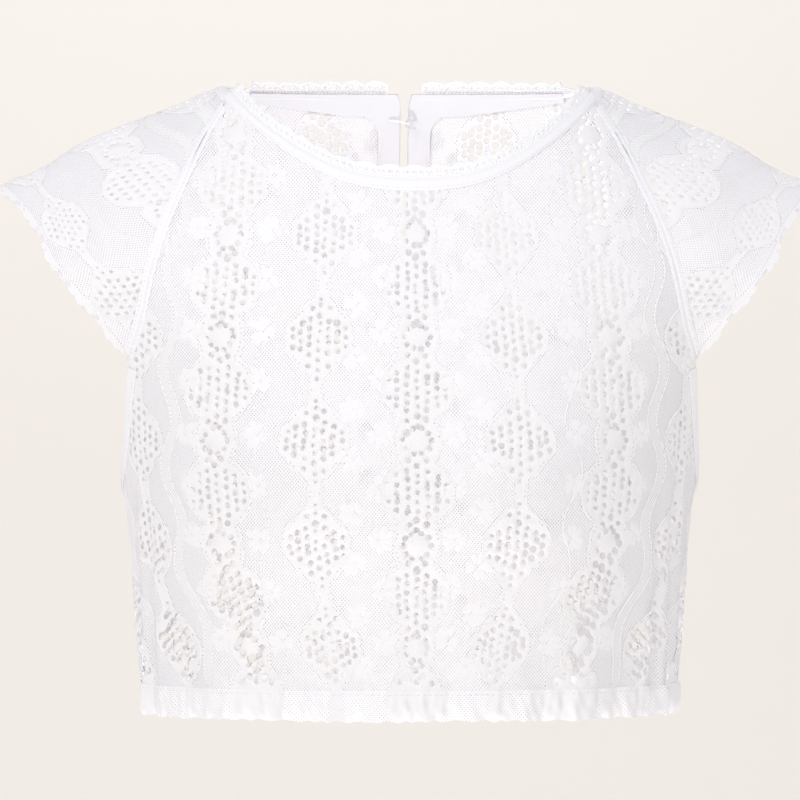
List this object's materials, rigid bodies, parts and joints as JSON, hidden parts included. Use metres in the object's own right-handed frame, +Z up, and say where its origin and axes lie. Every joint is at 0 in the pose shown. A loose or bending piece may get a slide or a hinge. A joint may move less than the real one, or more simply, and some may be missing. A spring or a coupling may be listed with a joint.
{
  "type": "dirndl blouse",
  "caption": "White lace dirndl blouse with raglan cap sleeves, scalloped neck edging, a slit back and a gathered hem, in its worn shape with no wearer.",
  "frame": {"origin": "middle of the neck opening, at the height where the blouse hangs on the shoulders", "axes": "+Z up, +X towards the wearer's left sleeve, the front faces -Y"},
  "size_m": [0.4362, 0.2232, 0.3373],
  "materials": {
    "white_lace": "soft white stretch lace on a fine net ground",
    "white_edging": "soft white scalloped edging",
    "white_tape": "smooth white knitted tape",
    "white_thread": "white sewing thread",
    "closure_wire": "white coated wire"
  },
  "bodies": {
    "root": {"front_panel": "white_lace", "back_panel": "white_lace", "sleeve_left": "white_lace", "sleeve_right": "white_lace", "raglan_tape_front_left": "white_tape", "raglan_tape_front_right": "white_tape", "raglan_tape_back_left": "white_tape", "raglan_tape_back_right": "white_tape", "armhole_binding_left": "white_tape", "armhole_binding_right": "white_tape", "neck_band": "white_tape", "neck_edging": "white_edging", "back_facing_left": "white_tape", "back_facing_right": "white_tape", "hem_casing_front": "white_lace", "hem_casing_back": "white_lace", "closure_hook": "closure_wire", "closure_loop": "white_thread"}
  },
  "joints": []
}
